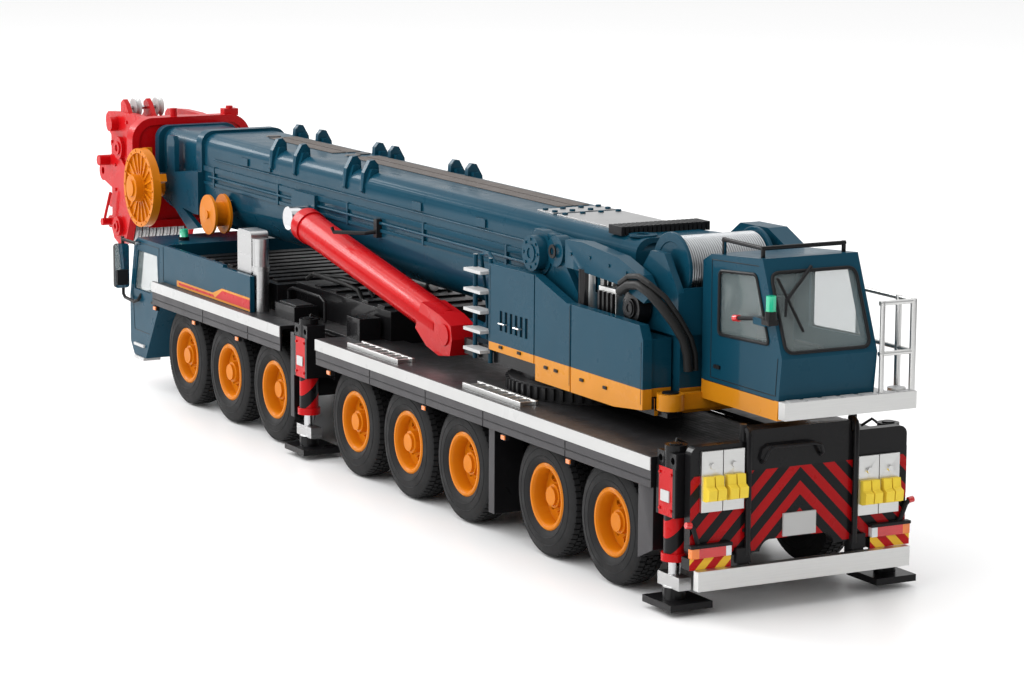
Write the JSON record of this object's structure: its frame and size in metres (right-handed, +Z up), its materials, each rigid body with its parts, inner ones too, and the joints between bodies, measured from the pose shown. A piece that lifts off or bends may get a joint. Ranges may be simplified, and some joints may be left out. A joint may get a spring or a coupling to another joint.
{
  "type": "die-cast scale model of a telescopic mobile crane",
  "caption": "Die-cast model of a multi-axle telescopic mobile crane with steered wheels, slewing superstructure, luffing and telescoping boom, swinging crane cab and sliding outriggers.",
  "frame": {"origin": "on the floor under the middle of the model's bounding box", "axes": "+X towards the carrier cab and boom head, +Y left, +Z up"},
  "size_m": [0.4048, 0.0684, 0.0818],
  "materials": {
    "blue_paint": "gloss",
    "red_paint": "gloss",
    "gold_paint": "satin",
    "black_chassis": "satin",
    "grey_steel": "satin",
    "bright_metal": "satin",
    "bare_steel": "brushed",
    "chrome_rod": "polished",
    "tyre_rubber": "matte",
    "black_plastic": "matte",
    "yellow_plastic": "matte",
    "red_lens": "gloss",
    "window_glass": "gloss"
  },
  "bodies": {
    "carrier": {"chassis_frame": "black_chassis", "axle_beams": "grey_steel", "side_decks": "black_chassis", "bright_trim": "bright_metal", "carrier_cab": "blue_paint", "carrier_glazing": "window_glass", "cab_fittings": "black_plastic", "exhaust_stack": "bright_metal", "rear_panel": "black_chassis", "wheel_chocks": "yellow_plastic", "tail_lamps": "red_lens", "slew_ring": "grey_steel"},
    "steer_1_left": {"knuckle_1_left": "grey_steel"},
    "wheel_1_left": {"tyre_1_left": "tyre_rubber", "rim_1_left": "gold_paint"},
    "steer_1_right": {"knuckle_1_right": "grey_steel"},
    "wheel_1_right": {"tyre_1_right": "tyre_rubber", "rim_1_right": "gold_paint"},
    "steer_2_left": {"knuckle_2_left": "grey_steel"},
    "wheel_2_left": {"tyre_2_left": "tyre_rubber", "rim_2_left": "gold_paint"},
    "steer_2_right": {"knuckle_2_right": "grey_steel"},
    "wheel_2_right": {"tyre_2_right": "tyre_rubber", "rim_2_right": "gold_paint"},
    "axle_3": {"tyres_3": "tyre_rubber", "wheelset_3": "gold_paint"},
    "axle_4": {"tyres_4": "tyre_rubber", "wheelset_4": "gold_paint"},
    "axle_5": {"tyres_5": "tyre_rubber", "wheelset_5": "gold_paint"},
    "axle_6": {"tyres_6": "tyre_rubber", "wheelset_6": "gold_paint"},
    "axle_7": {"tyres_7": "tyre_rubber", "wheelset_7": "gold_paint"},
    "axle_8": {"tyres_8": "tyre_rubber", "wheelset_8": "gold_paint"},
    "beam_front_left": {"outrigger_front_left": "red_paint"},
    "leg_front_left": {"jack_front_left": "bare_steel"},
    "beam_front_right": {"outrigger_front_right": "red_paint"},
    "leg_front_right": {"jack_front_right": "bare_steel"},
    "beam_rear_left": {"outrigger_rear_left": "red_paint"},
    "leg_rear_left": {"jack_rear_left": "bare_steel"},
    "beam_rear_right": {"outrigger_rear_right": "red_paint"},
    "leg_rear_right": {"jack_rear_right": "bare_steel"},
    "superstructure": {"upper_frame": "blue_paint", "side_housings": "blue_paint", "access_ladder": "bright_metal"},
    "winch": {"winch_drum": "bare_steel"},
    "crane_cab": {"crane_cab_shell": "blue_paint", "crane_cab_glazing": "window_glass", "crane_cab_seat": "black_plastic", "crane_cab_walkway": "bright_metal"},
    "boom": {"boom_base": "blue_paint", "rope_reels": "gold_paint"},
    "boom_middle": {"boom_section_2": "blue_paint"},
    "boom_inner": {"boom_inner_section": "blue_paint", "boom_head": "red_paint", "head_sheaves": "bare_steel"},
    "lift_barrel": {"lift_barrels": "red_paint"},
    "lift_rod": {"lift_rods": "chrome_rod"}
  },
  "joints": [
    {"name": "steering_1_left", "type": "hinge", "parent": "carrier", "child": "steer_1_left", "pos_m": [0.089, 0.017, 0.0146], "axis": [0, 0, 1], "range_deg": [-12, 12]},
    {"name": "wheel_1_left_spin", "type": "hinge", "parent": "steer_1_left", "child": "wheel_1_left", "pos_m": [0.089, 0.0256, 0.0146], "axis": [0, 1, 0], "continuous": true},
    {"name": "steering_1_right", "type": "hinge", "parent": "carrier", "child": "steer_1_right", "pos_m": [0.089, -0.017, 0.0146], "axis": [0, 0, 1], "range_deg": [-12, 12]},
    {"name": "wheel_1_right_spin", "type": "hinge", "parent": "steer_1_right", "child": "wheel_1_right", "pos_m": [0.089, -0.0256, 0.0146], "axis": [0, 1, 0], "continuous": true},
    {"name": "steering_2_left", "type": "hinge", "parent": "carrier", "child": "steer_2_left", "pos_m": [0.058, 0.017, 0.0146], "axis": [0, 0, 1], "range_deg": [-12, 12]},
    {"name": "wheel_2_left_spin", "type": "hinge", "parent": "steer_2_left", "child": "wheel_2_left", "pos_m": [0.058, 0.0256, 0.0146], "axis": [0, 1, 0], "continuous": true},
    {"name": "steering_2_right", "type": "hinge", "parent": "carrier", "child": "steer_2_right", "pos_m": [0.058, -0.017, 0.0146], "axis": [0, 0, 1], "range_deg": [-12, 12]},
    {"name": "wheel_2_right_spin", "type": "hinge", "parent": "steer_2_right", "child": "wheel_2_right", "pos_m": [0.058, -0.0256, 0.0146], "axis": [0, 1, 0], "continuous": true},
    {"name": "axle_3_spin", "type": "hinge", "parent": "carrier", "child": "axle_3", "pos_m": [0.027, 0, 0.0146], "axis": [0, 1, 0], "continuous": true},
    {"name": "axle_4_spin", "type": "hinge", "parent": "carrier", "child": "axle_4", "pos_m": [-0.025, 0, 0.0146], "axis": [0, 1, 0], "continuous": true},
    {"name": "axle_5_spin", "type": "hinge", "parent": "carrier", "child": "axle_5", "pos_m": [-0.056, 0, 0.0146], "axis": [0, 1, 0], "continuous": true},
    {"name": "axle_6_spin", "type": "hinge", "parent": "carrier", "child": "axle_6", "pos_m": [-0.087, 0, 0.0146], "axis": [0, 1, 0], "continuous": true},
    {"name": "axle_7_spin", "type": "hinge", "parent": "carrier", "child": "axle_7", "pos_m": [-0.1295, 0, 0.0146], "axis": [0, 1, 0], "continuous": true},
    {"name": "axle_8_spin", "type": "hinge", "parent": "carrier", "child": "axle_8", "pos_m": [-0.1605, 0, 0.0146], "axis": [0, 1, 0], "continuous": true},
    {"name": "outrigger_front_left_out", "type": "slide", "parent": "carrier", "child": "beam_front_left", "axis": [0, 1, 0], "range_m": [0, 0.036]},
    {"name": "jack_front_left_down", "type": "slide", "parent": "beam_front_left", "child": "leg_front_left", "axis": [0, 0, -1], "range_m": [0, 0.004]},
    {"name": "outrigger_front_right_out", "type": "slide", "parent": "carrier", "child": "beam_front_right", "axis": [0, -1, 0], "range_m": [0, 0.036]},
    {"name": "jack_front_right_down", "type": "slide", "parent": "beam_front_right", "child": "leg_front_right", "axis": [0, 0, -1], "range_m": [0, 0.004]},
    {"name": "outrigger_rear_left_out", "type": "slide", "parent": "carrier", "child": "beam_rear_left", "axis": [0, 1, 0], "range_m": [0, 0.036]},
    {"name": "jack_rear_left_down", "type": "slide", "parent": "beam_rear_left", "child": "leg_rear_left", "axis": [0, 0, -1], "range_m": [0, 0.004]},
    {"name": "outrigger_rear_right_out", "type": "slide", "parent": "carrier", "child": "beam_rear_right", "axis": [0, -1, 0], "range_m": [0, 0.036]},
    {"name": "jack_rear_right_down", "type": "slide", "parent": "beam_rear_right", "child": "leg_rear_right", "axis": [0, 0, -1], "range_m": [0, 0.004]},
    {"name": "slew", "type": "hinge", "parent": "carrier", "child": "superstructure", "pos_m": [-0.105, 0, 0.0395], "axis": [0, 0, 1], "continuous": true},
    {"name": "winch_turn", "type": "hinge", "parent": "superstructure", "child": "winch", "pos_m": [-0.157, 0, 0.0724], "axis": [0, 1, 0], "continuous": true},
    {"name": "cab_swing", "type": "hinge", "parent": "superstructure", "child": "crane_cab", "pos_m": [-0.1662, 0.017, 0.047], "axis": [0, 0, -1], "range_deg": [0, 180]},
    {"name": "boom_luff", "type": "hinge", "parent": "superstructure", "child": "boom", "pos_m": [-0.13, 0, 0.066], "axis": [0, -1, 0], "range_deg": [0, 75]},
    {"name": "boom_middle_out", "type": "slide", "parent": "boom", "child": "boom_middle", "axis": [1, 0, 0], "range_m": [0, 0.18]},
    {"name": "boom_inner_out", "type": "slide", "parent": "boom_middle", "child": "boom_inner", "axis": [1, 0, 0], "range_m": [0, 0.19]},
    {"name": "lift_barrel_swing", "type": "hinge", "parent": "superstructure", "child": "lift_barrel", "pos_m": [-0.063, 0, 0.0433], "axis": [0, -1, 0], "range_deg": [0, 86.07]},
    {"name": "lift_rod_out", "type": "slide", "parent": "lift_barrel", "child": "lift_rod", "axis": [0.9832, 0, 0.1826], "range_m": [0, 0.08253]}
  ],
  "couplings": [
    {"joint": "steering_1_right", "follows": "steering_1_left", "ratio": 1},
    {"joint": "steering_2_left", "follows": "steering_1_left", "ratio": 0.85},
    {"joint": "steering_2_right", "follows": "steering_1_left", "ratio": 0.85},
    {"joint": "lift_barrel_swing", "follows": "boom_luff", "ratio": 1.1436},
    {"joint": "lift_rod_out", "follows": "boom_luff", "m_per_rad": 0.062898}
  ]
}
